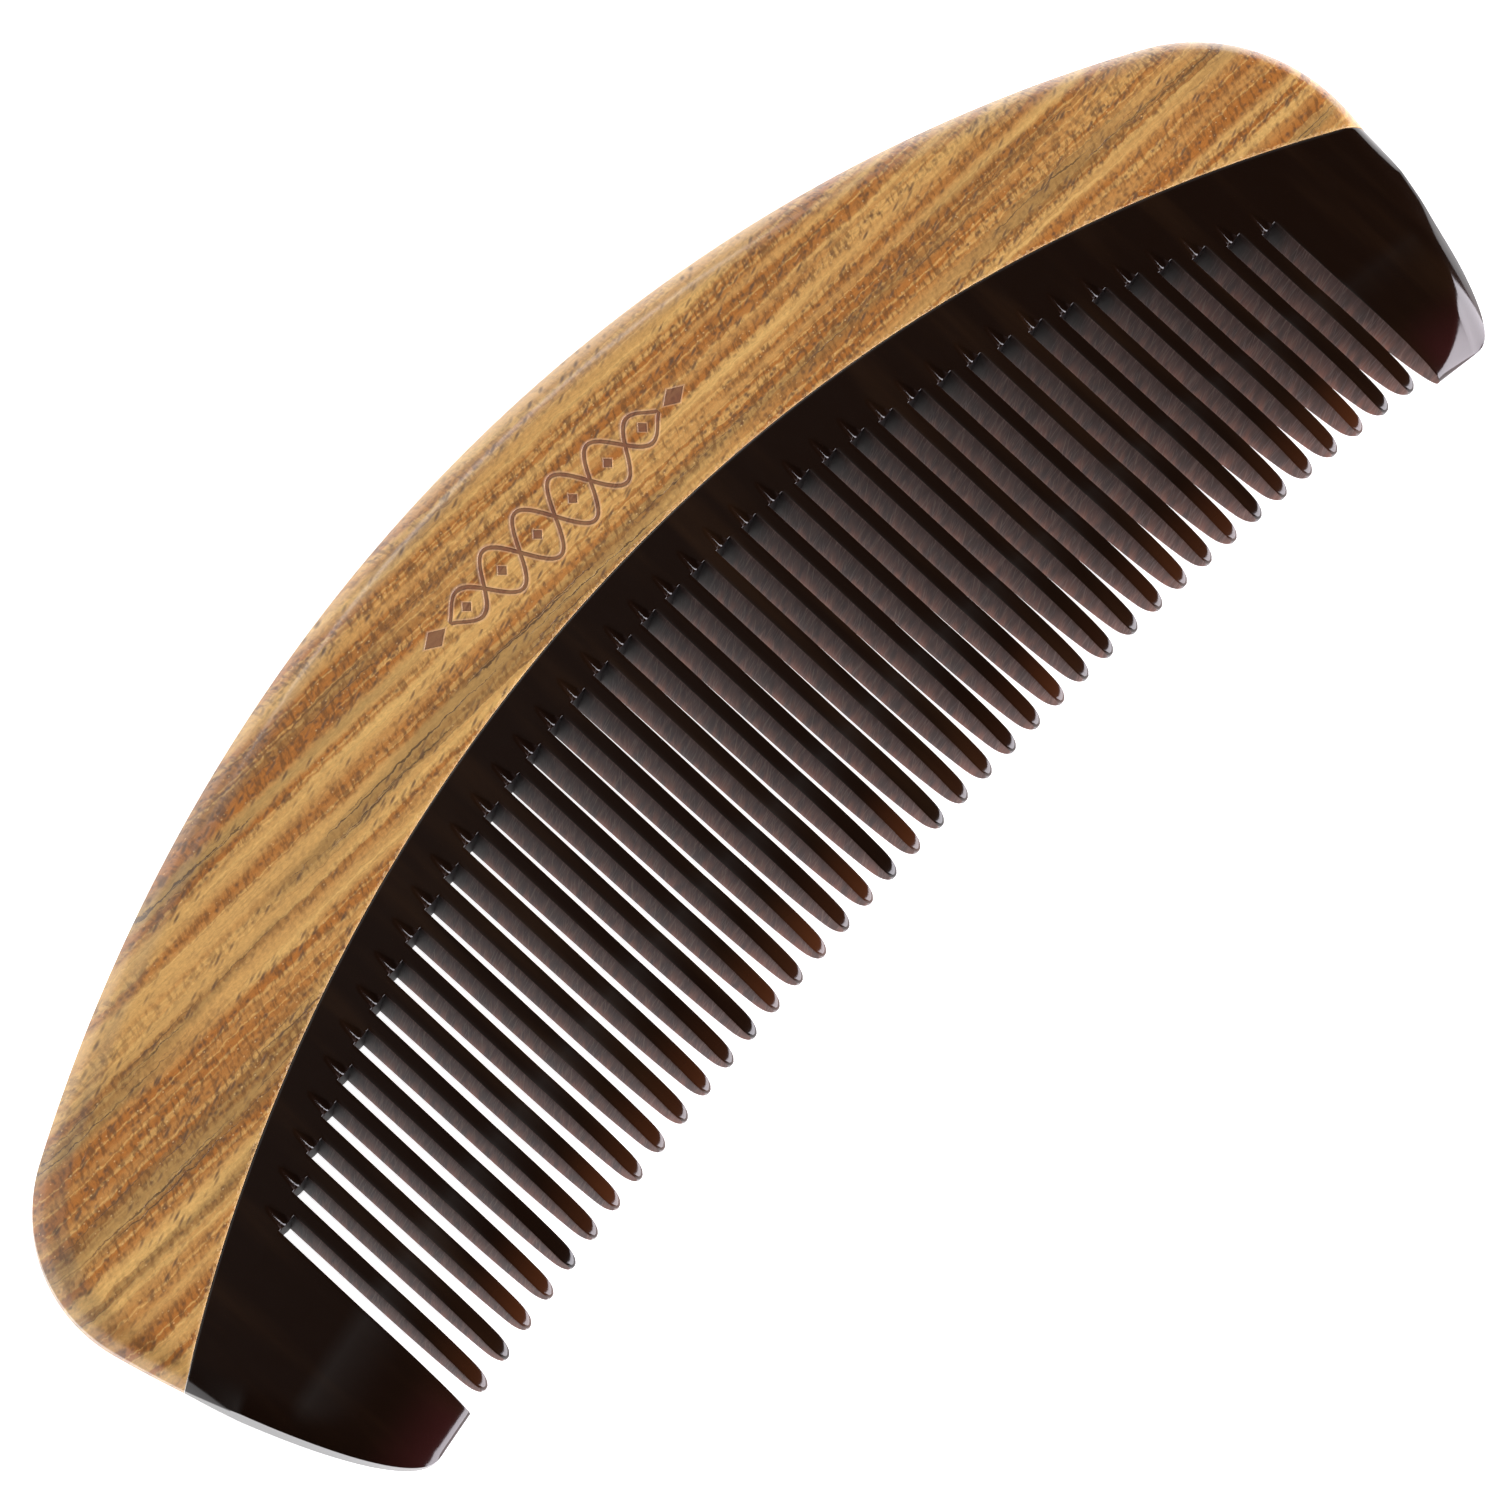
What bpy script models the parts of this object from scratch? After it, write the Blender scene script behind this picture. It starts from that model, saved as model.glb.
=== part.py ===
"""Half-moon hair and beard comb: a hardwood back and a horn plate with all the teeth, joined on a curved seam.

Units are metres and +Z is up. The comb lies on its rear face: X runs along its length, +Y points from the teeth
to the back, and Z goes through its thickness. The rear face is the plane z = 0, and the front face slopes down
towards the arc of the tips. The frame's origin is the middle of the comb's box, on the rear face.
"""

import math

import bmesh
import bpy
import numpy as np
from mathutils import Matrix, Vector

# Overall size
LENGTH = 0.1694
WIDTH = 0.0624
BACK_THICKNESS = 0.0081
TIP_THICKNESS = 0.0044

# Outline: the arc of the back, the two ends, and the arc that the tips lie on
BACK_RADIUS = 0.1649
BACK_CENTRE_X = -0.0028
END_RADIUS = {1: 0.112, -1: 0.110}
END_CENTRE = {1: Vector((-0.0265, 0.0120)), -1: Vector((0.0227, 0.0216))}
SHOULDER_RADIUS = {1: 0.0185, -1: 0.0145}
TIP_ARC_RADIUS = 0.480
TIP_ARC_CENTRE_X = -0.0010
TIP_ARC_RISE = 0.00685
GUARD_DROP = {1: 0.0009, -1: 0.0001}
GUARD_CORNER_RADIUS = 0.0026

# Edge rounding: a quarter of an ellipse on each face, long at the tips and short everywhere else
EDGE_ROUNDING = 0.00235
TIP_ROUNDING = 0.013
GUARD_INNER_RADIUS = 0.0015
MOST_ROUNDED = 0.47
ROUNDING_STEPS = 5

# Seam between wood and horn, and the blind tongue that crosses it
SEAM_RADIUS = 0.1655
SEAM_DEPTH = 0.0178
GLUE_GAP = 0.0003
TONGUE_HEIGHT = 0.006
TONGUE_FOOT = 0.0015
TONGUE_THICKNESS = 0.0018
TONGUE_HALF_ANGLE = math.radians(24)

# Teeth: slots at an even pitch, which end on an arc with a pointed notch on each face
TOOTH_COUNT = 40
PITCH = 0.00336
TOOTH_WIDTH = 0.00145
ROOT_ARC_RADIUS = 0.1535
ROOT_ARC_CENTRE_X = -0.0019
ROOT_DEPTH = 0.023
TEETH_CENTRE_X = 0.0009
NOTCH_HEIGHT = 0.0018
NOTCH_OF_SLOT = 0.9
NOTCH_STAND_OFF = 0.0001

# Points along each stretch of the outline
CORNER_STEPS = 5
END_STEPS = 9
SHOULDER_STEPS = 8
BACK_STEPS = 40
TIP_ARC_STEPS = 20
SEAM_STEPS = 48

# Places that follow from the sizes
TOP = WIDTH / 2
BOTTOM = -WIDTH / 2
BACK_CENTRE = Vector((BACK_CENTRE_X, TOP - BACK_RADIUS))
SEAM_CENTRE = Vector((TEETH_CENTRE_X, TOP - SEAM_DEPTH - SEAM_RADIUS))
TIP_ARC_CENTRE = Vector((TIP_ARC_CENTRE_X, BOTTOM + TIP_ARC_RISE - TIP_ARC_RADIUS))
ROOT_ARC_CENTRE = Vector((ROOT_ARC_CENTRE_X, TOP - ROOT_DEPTH - ROOT_ARC_RADIUS))
SLOT_WIDTH = PITCH - TOOTH_WIDTH
SLOT_COUNT = TOOTH_COUNT + 1
LAST_SLOT_X = TEETH_CENTRE_X + TOOTH_COUNT / 2 * PITCH
FIRST_SLOT_X = TEETH_CENTRE_X - TOOTH_COUNT / 2 * PITCH
FRONT_SLOPE = (BACK_THICKNESS - TIP_THICKNESS) / (WIDTH - TIP_ARC_RISE)
BEYOND = 0.01


def clear_scene():
    for obj in list(bpy.data.objects):
        bpy.data.objects.remove(obj, do_unlink=True)


def new_collection(name):
    collection = bpy.data.collections.new(name)
    bpy.context.scene.collection.children.link(collection)
    return collection


def add_object(name, mesh, collection):
    obj = bpy.data.objects.new(name, mesh)
    collection.objects.link(obj)
    return obj


def add_cutter(name, mesh, collection):
    cutter = add_object(name, mesh, collection)
    cutter.hide_render = True
    cutter.display_type = "WIRE"
    return cutter


def boolean(obj, name, operation, other):
    modifier = obj.modifiers.new(name, "BOOLEAN")
    modifier.operation = operation
    modifier.solver = "EXACT"
    modifier.object = other


def front_height(place):
    """Height of the front face, which rises evenly with the distance from the arc of the tips."""
    return TIP_THICKNESS + FRONT_SLOPE * ((place - TIP_ARC_CENTRE).length - TIP_ARC_RADIUS)


# ---------------------------------------------------------------- plane geometry


def circles_meet(centre_a, radius_a, centre_b, radius_b, side):
    """Where two circles meet, to the left (side 1) or to the right (side -1) of the line from a to b."""
    line = centre_b - centre_a
    along = line.normalized()
    reach = (line.length**2 + radius_a**2 - radius_b**2) / (2 * line.length)
    offset = math.sqrt(radius_a**2 - reach**2)
    return centre_a + along * reach + Vector((-along.y, along.x)) * offset * side


def angle_to(centre, point):
    return math.atan2(point.y - centre.y, point.x - centre.x)


def arc(centre, radius, start, end, count):
    """Points along an arc, without the last one, so that the next stretch can follow it."""
    angles = np.linspace(start, end, count, endpoint=False)
    return [centre + Vector((math.cos(a), math.sin(a))) * radius for a in angles]


def arc_between(centre, radius, x_start, x_end, count):
    """Points along the upper side of a circle, from one X to another, with both ends."""
    angles = [math.acos((x - centre.x) / radius) for x in (x_start, x_end)]
    return [
        centre + Vector((math.cos(a), math.sin(a))) * radius for a in np.linspace(*angles, count)
    ]


def outline(inset, tip_inset, corner):
    """The comb's outline, anticlockwise from the right guard.

    inset moves the back and the ends inwards, tip_inset the arc of the tips, and corner rounds the guards. The
    guards reach a little lower than the teeth, with the step inside the first and the last slot.
    """
    back = BACK_RADIUS - inset
    end = {side: END_RADIUS[side] - inset for side in (1, -1)}
    shoulder = {side: SHOULDER_RADIUS[side] - inset for side in (1, -1)}
    tips = TIP_ARC_RADIUS + tip_inset
    shoulder_centre, guard_centre = {}, {}
    for side in (1, -1):
        centre = END_CENTRE[side]
        shoulder_centre[side] = circles_meet(
            BACK_CENTRE, back - shoulder[side], centre, end[side] - shoulder[side], -side
        )
        guard_centre[side] = circles_meet(
            TIP_ARC_CENTRE, tips - GUARD_DROP[side] + corner, centre, end[side] - corner, -side
        )

    tips_right = angle_to(TIP_ARC_CENTRE, guard_centre[1])
    tips_left = angle_to(TIP_ARC_CENTRE, guard_centre[-1])
    slot_right = math.acos((LAST_SLOT_X - TIP_ARC_CENTRE_X) / tips)
    slot_left = math.acos((FIRST_SLOT_X - TIP_ARC_CENTRE_X) / tips)
    right_low = angle_to(END_CENTRE[1], guard_centre[1])
    right_high = angle_to(END_CENTRE[1], shoulder_centre[1])
    back_right = angle_to(BACK_CENTRE, shoulder_centre[1])
    back_left = angle_to(BACK_CENTRE, shoulder_centre[-1])
    left_high = angle_to(END_CENTRE[-1], shoulder_centre[-1]) % math.tau
    left_low = angle_to(END_CENTRE[-1], guard_centre[-1]) % math.tau

    points = arc(guard_centre[1], corner, tips_right - math.pi, right_low, CORNER_STEPS)
    points += arc(END_CENTRE[1], end[1], right_low, right_high, END_STEPS)
    points += arc(shoulder_centre[1], shoulder[1], right_high, back_right, SHOULDER_STEPS)
    points += arc(BACK_CENTRE, back, back_right, back_left, BACK_STEPS)
    points += arc(shoulder_centre[-1], shoulder[-1], back_left, left_high, SHOULDER_STEPS)
    points += arc(END_CENTRE[-1], end[-1], left_high, left_low, END_STEPS)
    points += arc(guard_centre[-1], corner, left_low, tips_left + math.pi, CORNER_STEPS)
    points += arc(TIP_ARC_CENTRE, tips - GUARD_DROP[-1], tips_left, slot_left, CORNER_STEPS)
    points += arc(TIP_ARC_CENTRE, tips, slot_left, slot_right, TIP_ARC_STEPS)
    points += arc(TIP_ARC_CENTRE, tips - GUARD_DROP[1], slot_right, tips_right, CORNER_STEPS)
    return points


# ---------------------------------------------------------------- meshes


def comb_blank():
    """The whole comb before the seam and the slots: a loft from the flat rear face to the sloping front face.

    Each ring lies between the widest outline and the edge of the flat face, so one loft holds both the short
    rounding of the back and the long taper of the tips.
    """
    widest = outline(0, 0, GUARD_CORNER_RADIUS)
    flat = outline(EDGE_ROUNDING, TIP_ROUNDING, GUARD_INNER_RADIUS)
    turns = np.linspace(0, math.pi / 2, ROUNDING_STEPS + 1)
    bm = bmesh.new()

    def ring(turn, from_front):
        vertices = []
        for outer, inner in zip(widest, flat):
            place = inner.lerp(outer, math.sin(turn))
            front = front_height(inner)
            lift = min(EDGE_ROUNDING, MOST_ROUNDED * front) * (1 - math.cos(turn))
            height = front - lift if from_front else lift
            vertices.append(bm.verts.new((place.x, place.y, height)))
        return vertices

    rings = [ring(turn, False) for turn in turns]
    rings += [ring(turn, True) for turn in reversed(turns)]
    count = len(widest)
    for low, high in zip(rings, rings[1:]):
        for i in range(count):
            j = (i + 1) % count
            bm.faces.new((low[i], low[j], high[j], high[i]))
    bm.faces.new(rings[-1])
    bmesh.ops.triangulate(bm, faces=bm.faces, ngon_method="BEAUTY")
    bm.faces.new(reversed(rings[0]))
    mesh = bpy.data.meshes.new("comb_blank")
    bm.to_mesh(mesh)
    bm.free()
    return mesh


def prism(name, points, thickness):
    """A flat closed outline as a 2D curve, extruded equally up and down, and made a closed mesh."""
    curve = bpy.data.curves.new(name + "_outline", "CURVE")
    curve.dimensions = "2D"
    curve.fill_mode = "BOTH"
    curve.extrude = thickness / 2
    spline = curve.splines.new("POLY")
    spline.points.add(len(points) - 1)
    for point, place in zip(spline.points, points):
        point.co = (place.x, place.y, 0, 1)
    spline.use_cyclic_u = True
    guide = bpy.data.objects.new(name + "_guide", curve)
    bpy.context.scene.collection.objects.link(guide)
    graph = bpy.context.evaluated_depsgraph_get()
    mesh = bpy.data.meshes.new_from_object(guide.evaluated_get(graph))
    bpy.data.objects.remove(guide, do_unlink=True)
    bm = bmesh.new()
    bm.from_mesh(mesh)
    bmesh.ops.remove_doubles(bm, verts=bm.verts, dist=1e-6)
    bmesh.ops.recalc_face_normals(bm, faces=bm.faces)
    bm.to_mesh(mesh)
    bm.free()
    mesh.name = name
    return mesh


def below_seam(name, radius):
    """Everything on the teeth's side of the seam, as a thick prism under the seam's arc."""
    half = LENGTH / 2 + BEYOND
    points = arc_between(SEAM_CENTRE, radius, half, -half, SEAM_STEPS)
    points += [Vector((-half, BOTTOM - BEYOND)), Vector((half, BOTTOM - BEYOND))]
    return prism(name, points, 4 * BACK_THICKNESS)


def tongue(name, clearance):
    """The curved tongue along the seam, thinner than the plate and short of both its ends."""
    inner = SEAM_RADIUS - TONGUE_FOOT - clearance
    outer = SEAM_RADIUS + TONGUE_HEIGHT + clearance
    sweep = TONGUE_HALF_ANGLE + clearance / SEAM_RADIUS
    angles = np.linspace(math.pi / 2 - sweep, math.pi / 2 + sweep, SEAM_STEPS // 2)
    directions = [Vector((math.cos(a), math.sin(a))) for a in angles]
    points = [SEAM_CENTRE + d * outer for d in directions]
    points += [SEAM_CENTRE + d * inner for d in reversed(directions)]
    return prism(name, points, TONGUE_THICKNESS + 2 * clearance)


def place_in_mid_plane(obj):
    """Tilts a flat solid about the X axis, so that it lies half way between the rear and the front face."""
    obj.rotation_euler.x = math.atan(FRONT_SLOPE / 2)
    obj.location.z = front_height(Vector((0, 0))) / 2


def slot_places():
    """The middle of each slot's root, from left to right."""
    places = []
    for i in range(SLOT_COUNT):
        x = FIRST_SLOT_X + i * PITCH
        across = x - ROOT_ARC_CENTRE.x
        rise = math.sqrt(ROOT_ARC_RADIUS**2 - across**2)
        places.append(Vector((x, ROOT_ARC_CENTRE.y + rise)))
    return places


def slots_mesh():
    """One square-ended box for each slot, from its root to past the tips."""
    bm = bmesh.new()
    for root in slot_places():
        length = root.y - BOTTOM + BEYOND
        centre = Vector((root.x, root.y - length / 2, 0))
        size = Matrix.Diagonal((SLOT_WIDTH, length, 4 * BACK_THICKNESS, 1))
        bmesh.ops.create_cube(bm, size=1, matrix=Matrix.Translation(centre) @ size)
    mesh = bpy.data.meshes.new("slots")
    bm.to_mesh(mesh)
    bm.free()
    return mesh


def notches_mesh(name, on_front):
    """One four-sided pyramid for each slot, which leaves a pointed V groove in a face above the slot's root."""
    overlap = NOTCH_HEIGHT * (1 / NOTCH_OF_SLOT - 1)
    height = NOTCH_HEIGHT + overlap
    tilt = math.atan(FRONT_SLOPE) if on_front else 0
    bm = bmesh.new()
    for root in slot_places():
        middle = Vector((root.x, root.y - overlap + height / 2))
        level = front_height(middle) + NOTCH_STAND_OFF if on_front else -NOTCH_STAND_OFF
        centre = Vector((*middle, level))
        turn = Matrix.Rotation(tilt - math.pi / 2, 4, "X")
        bmesh.ops.create_cone(
            bm,
            cap_ends=True,
            segments=4,
            radius1=SLOT_WIDTH / 2,
            radius2=0,
            depth=height,
            matrix=Matrix.Translation(centre) @ turn,
        )
    mesh = bpy.data.meshes.new(name)
    bm.to_mesh(mesh)
    bm.free()
    return mesh


# ---------------------------------------------------------------- materials


def material(name, colour, roughness):
    made = bpy.data.materials.new(name)
    made.use_nodes = True
    shader = made.node_tree.nodes["Principled BSDF"]
    shader.inputs["Base Color"].default_value = (*colour, 1)
    shader.inputs["Roughness"].default_value = roughness
    shader.inputs["Metallic"].default_value = 0
    return made


def polished_wood():
    return material("polished_wood", (0.46, 0.25, 0.08), 0.28)


def polished_horn():
    return material("polished_horn", (0.012, 0.007, 0.005), 0.16)


# ---------------------------------------------------------------- the two pieces


def horn_tooth_plate(parts, cutters):
    """The horn plate: the blank below the seam, with the tongue added and the slots sawn out."""
    plate = add_object("horn_tooth_plate", comb_blank(), parts)
    plate.data.materials.append(polished_horn())
    seam = add_cutter(
        "horn_side", below_seam("horn_side", SEAM_RADIUS - GLUE_GAP / 2), cutters
    )
    rib = add_cutter("tongue", tongue("tongue", 0), cutters)
    place_in_mid_plane(rib)
    boolean(plate, "below_seam", "INTERSECT", seam)
    boolean(plate, "tongue", "UNION", rib)
    boolean(plate, "slots", "DIFFERENCE", add_cutter("slots", slots_mesh(), cutters))
    for face, on_front in (("front", True), ("rear", False)):
        name = face + "_notches"
        notches = add_cutter(name, notches_mesh(name, on_front), cutters)
        boolean(plate, name, "DIFFERENCE", notches)
    return plate


def wood_back(parts, cutters):
    """The wooden back: the blank above the seam, with the blind groove for the tongue."""
    back = add_object("wood_back", comb_blank(), parts)
    back.data.materials.append(polished_wood())
    seam = add_cutter(
        "wood_side", below_seam("wood_side", SEAM_RADIUS + GLUE_GAP / 2), cutters
    )
    groove = add_cutter("groove", tongue("groove", GLUE_GAP), cutters)
    place_in_mid_plane(groove)
    boolean(back, "above_seam", "DIFFERENCE", seam)
    boolean(back, "groove", "DIFFERENCE", groove)
    return back


def shade(obj):
    obj.data.shade_smooth()
    obj.data.set_sharp_from_angle(angle=math.radians(30))


def main():
    clear_scene()
    parts = new_collection("horn_and_wood_comb")
    cutters = new_collection("cutters")
    for piece in (horn_tooth_plate(parts, cutters), wood_back(parts, cutters)):
        shade(piece)


main()
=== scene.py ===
"""Looks for the half-moon comb of wood and horn: fine meshes, wood and horn materials, and a light box.

Both pieces are rebuilt from the CAD sizes at a finer resolution, with their edges broken, and stand for the
CAD nodes. Sizes are in metres, in the frame of the CAD. The comb lies on its flat rear face.
"""

import math

import bpy
import numpy as np
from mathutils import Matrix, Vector


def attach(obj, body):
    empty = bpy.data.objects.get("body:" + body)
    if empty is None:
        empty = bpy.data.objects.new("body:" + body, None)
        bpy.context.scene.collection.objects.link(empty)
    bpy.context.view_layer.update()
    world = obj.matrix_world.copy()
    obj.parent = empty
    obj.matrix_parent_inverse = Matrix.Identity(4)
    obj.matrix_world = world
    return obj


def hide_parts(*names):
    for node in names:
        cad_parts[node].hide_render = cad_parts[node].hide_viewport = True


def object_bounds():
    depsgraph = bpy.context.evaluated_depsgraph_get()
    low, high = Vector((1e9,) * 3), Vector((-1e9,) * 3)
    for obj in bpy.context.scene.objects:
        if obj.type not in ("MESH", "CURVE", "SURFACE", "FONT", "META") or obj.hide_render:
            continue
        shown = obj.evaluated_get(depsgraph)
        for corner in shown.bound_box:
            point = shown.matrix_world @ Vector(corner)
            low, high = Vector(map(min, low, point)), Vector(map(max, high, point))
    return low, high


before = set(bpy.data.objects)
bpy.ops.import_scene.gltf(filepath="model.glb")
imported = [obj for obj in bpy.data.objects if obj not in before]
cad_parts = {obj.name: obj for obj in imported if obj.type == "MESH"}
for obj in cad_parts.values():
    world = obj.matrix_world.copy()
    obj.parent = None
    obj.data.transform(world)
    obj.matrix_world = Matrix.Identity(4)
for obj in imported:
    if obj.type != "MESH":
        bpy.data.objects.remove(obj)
cad_low, cad_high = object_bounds()

# ---------------------------------------------------------------- sizes of the CAD design

BACK_THICKNESS = 0.0081
TIP_THICKNESS = 0.0044
BACK_RADIUS = 0.1649
BACK_CENTRE_X = -0.0028
END_RADIUS = {1: 0.112, -1: 0.110}
END_CENTRE = {1: Vector((-0.0265, 0.0120)), -1: Vector((0.0227, 0.0216))}
SHOULDER_RADIUS = {1: 0.0185, -1: 0.0145}
TIP_ARC_RADIUS = 0.480
TIP_ARC_CENTRE_X = -0.0010
TIP_ARC_RISE = 0.00685
GUARD_DROP = {1: 0.0009, -1: 0.0001}
EDGE_ROUNDING = 0.00235
TIP_ROUNDING = 0.013
MOST_ROUNDED = 0.47
EDGE_WIDTH = 0.0030
EDGE_FULLNESS = 0.78
SEAM_RADIUS = 0.1655
SEAM_DEPTH = 0.0178
TONGUE_HEIGHT = 0.006
TONGUE_THICKNESS = 0.0018
TONGUE_HALF_ANGLE = math.radians(24)
TONGUE_CLEARANCE = 0.0003
TOOTH_COUNT = 40
PITCH = 0.00336
TOOTH_WIDTH = 0.00145
ROOT_ARC_RADIUS = 0.1535
ROOT_ARC_CENTRE_X = -0.0019
ROOT_DEPTH = 0.023
TEETH_CENTRE_X = 0.0009
NOTCH_HEIGHT = 0.0023

HALF_WIDTH = 0.0312
BACK_CENTRE = Vector((BACK_CENTRE_X, HALF_WIDTH - BACK_RADIUS))
SEAM_CENTRE = Vector((TEETH_CENTRE_X, HALF_WIDTH - SEAM_DEPTH - SEAM_RADIUS))
TIP_CENTRE = Vector((TIP_ARC_CENTRE_X, TIP_ARC_RISE - HALF_WIDTH - TIP_ARC_RADIUS))
ROOT_CENTRE = Vector((ROOT_ARC_CENTRE_X, HALF_WIDTH - ROOT_DEPTH - ROOT_ARC_RADIUS))
FRONT_SLOPE = (BACK_THICKNESS - TIP_THICKNESS) / (2 * HALF_WIDTH - TIP_ARC_RISE)
SLOT_WIDTH = PITCH - TOOTH_WIDTH

# Finish of the edges, finer than the CAD solids hold
SEAM_GAP = 0.00002
SEAM_EDGE = 0.00008
TOOTH_EDGE = 0.00008
TIP_NARROWING = 0.00022
TIP_NARROWING_LENGTH = 0.0022
TIP_CORNER = 0.00055
TIP_CORNER_LENGTH = 0.0018
NOTCH_DEPTH = 0.00075
NOTCH_HALF = 0.00068
NOTCH_SHIFT = -0.00010
NOTCH_POINT = 0.75
NOTCH_SECTION = 1.5
NOTCH_STRAIGHT = 0.35
NOTCH_CURVE = 0.985
NOTCH_COLUMNS = (-1.0, -0.8, -0.55, -0.25, 0.0, 0.25, 0.55, 0.8, 1.0)
NOTCH_LEAST = 0.04
TIP_CORNER_REACH = 0.96
GUARD_CORNER_POWER = 3.6
GUARD_SIDE_PART = 0.42
GUARD_BLEND = 0.006
BEVEL_CENTRE = Vector((0.066, -0.017))
BEVEL_RADIUS = 0.0134
BEVEL_SLOPE = 0.32
BEVEL_SOFTNESS = 0.00015
BEVEL_FADE = 0.005

# Resolution of the meshes
MM = 1000
WALL_LEVELS = 5
ROUNDING_TURNS = 14
SEARCH_STEPS = 44
SEARCH_END = 0.095
LEAST_SHARE = 4
CREASE_ANGLE = math.radians(42)


def quarter(count):
    """Angles from 0 to a right angle."""
    return [math.pi / 2 * i / count for i in range(count + 1)]


def on_arc(centre, radius, x):
    """The height Y of the upper side of a circle at x."""
    return centre.y + math.sqrt(radius**2 - (x - centre.x) ** 2)


def circles_meet(centre_a, radius_a, centre_b, radius_b, side):
    """Where two circles meet, to the left (side 1) or to the right (side -1) of the line from a to b."""
    line = centre_b - centre_a
    along = line.normalized()
    reach = (line.length**2 + radius_a**2 - radius_b**2) / (2 * line.length)
    offset = math.sqrt(max(0.0, radius_a**2 - reach**2))
    return centre_a + along * reach + Vector((-along.y, along.x)) * offset * side


def front_height(x, y):
    return TIP_THICKNESS + FRONT_SLOPE * (math.hypot(x - TIP_CENTRE.x, y - TIP_CENTRE.y) - TIP_ARC_RADIUS)


def round_over(distance, radius):
    """How far a rounded edge lies below its face, at a distance from the wall."""
    if distance >= radius:
        return 0.0
    return radius - math.sqrt(radius**2 - (radius - distance) ** 2)


# ---------------------------------------------------------------- a plate from its two faces


class Plate:
    """A plate whose front and rear share one layout of points, each with a place and a height on both faces.

    Faces are added anticlockwise. Walls close the plate along every open edge, and where a wall point has a
    ledge, the wall carries half a tongue and groove there.
    """

    def __init__(self):
        self.points = []
        self.faces = []
        self.ledges = {}

    def add(self, x, y, low, high):
        self.points.append((x, y, low, high))
        return len(self.points) - 1

    def quad(self, a, b, c, d):
        corners = []
        for corner in (a, b, c, d):
            if corner not in corners:
                corners.append(corner)
        if len(corners) > 2:
            self.faces.append(corners)

    def grid(self, rows):
        """Quads between rows of points. Each row runs to the right and lies above the one before it."""
        for low, high in zip(rows, rows[1:]):
            for i in range(len(low) - 1):
                self.quad(low[i], low[i + 1], high[i + 1], high[i])

    def wall_points(self, index):
        """Points down a wall, between the two faces, from the front to the rear."""
        x, y, low, high = self.points[index]
        ledge = self.ledges.get(index)
        if ledge is None:
            levels = [high + (low - high) * k / WALL_LEVELS for k in range(1, WALL_LEVELS)]
            return [(x, y, z) for z in levels]
        reach, half = ledge
        out = (Vector((x, y)) - SEAM_CENTRE).normalized() * reach
        middle = front_height(x, y) / 2
        upper, lower = middle + half, middle - half
        return [(x, y, upper), (x + out.x, y + out.y, upper), (x + out.x, y + out.y, lower), (x, y, lower)]

    def mesh(self, name):
        count = len(self.points)
        vertices = [(x, y, high) for x, y, low, high in self.points]
        vertices += [(x, y, low) for x, y, low, high in self.points]
        faces = list(self.faces) + [[count + i for i in reversed(face)] for face in self.faces]
        edges = set()
        for face in self.faces:
            edges |= set(zip(face, face[1:] + face[:1]))
        open_edges = sorted((a, b) for a, b in edges if (b, a) not in edges)
        lines = {}
        for index in sorted({i for edge in open_edges for i in edge}):
            between = self.wall_points(index)
            first = len(vertices)
            vertices += between
            lines[index] = [index, *range(first, first + len(between)), index + count]
        for a, b in open_edges:
            line_a, line_b = lines[a], lines[b]
            for k in range(len(line_a) - 1):
                faces.append([line_a[k], line_a[k + 1], line_b[k + 1], line_b[k]])
        mesh = bpy.data.meshes.new(name)
        mesh.from_pydata(vertices, [], faces)
        mesh.validate()
        return mesh


def rounded(share, cover, fullness=1.0, part=1.0):
    """The two heights of a point, from how far it is into the rounding and the front's height before it.

    A fullness of 1 ends the rounding upright, and less than 1 ends it at a crease. part makes it shallower.
    """
    most = min(EDGE_ROUNDING, MOST_ROUNDED * cover) * part
    fall = 1 - math.sqrt(max(0.0, 1 - (fullness * share) ** 2))
    lift = most * fall / (1 - math.sqrt(1 - fullness**2))
    return lift, cover - lift


def seam_drop(x, y):
    away = abs((Vector((x, y)) - SEAM_CENTRE).length - SEAM_RADIUS) - SEAM_GAP
    return round_over(max(0.0, away), SEAM_EDGE)


def in_tongue(x, y):
    """Whether the tongue runs past this place on the seam."""
    away = Vector((x, y)) - SEAM_CENTRE
    return abs(math.atan2(away.x, away.y)) < TONGUE_HALF_ANGLE


# ---------------------------------------------------------------- the horn plate

WALL_STEPS = [TOOTH_EDGE * (1 - math.sin(a)) for a in reversed(quarter(3))]
ROOT_ROW_START = 0.00008
ROOT_ROW_STEP = 0.000131
ROOT_ROW_COUNT = 17
ROOT_ROWS_END = 0.0026
NOTCH_ROWS = [ROOT_ROW_START + ROOT_ROW_STEP * step for step in range(1, ROOT_ROW_COUNT + 1)]
ROOT_ROWS = [0.0, *WALL_STEPS[1:], *NOTCH_ROWS, ROOT_ROWS_END]
SEAM_ROWS = [0.15, 0.3, 0.45, 0.6, 0.75, 0.88, 0.95]
SEAM_STEPS = [SEAM_EDGE, SEAM_EDGE / 2, SEAM_EDGE / 6, 0.0]
SEAM_STEP_SPREAD = 1.3
TOOTH_MIDDLE = [-0.5, 0.0, 0.5]
SLOT_COLUMNS = len(NOTCH_COLUMNS) + 2
TOOTH_ROWS = 10
NOSE_TURNS = quarter(26)[1:]
SIDE_TURNS = quarter(12)[1:]
GUARD_COLUMNS = 30


def slot_x(i):
    return TEETH_CENTRE_X + (i - TOOTH_COUNT / 2) * PITCH


def slot_y(i):
    return on_arc(ROOT_CENTRE, ROOT_ARC_RADIUS, slot_x(i))


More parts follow.
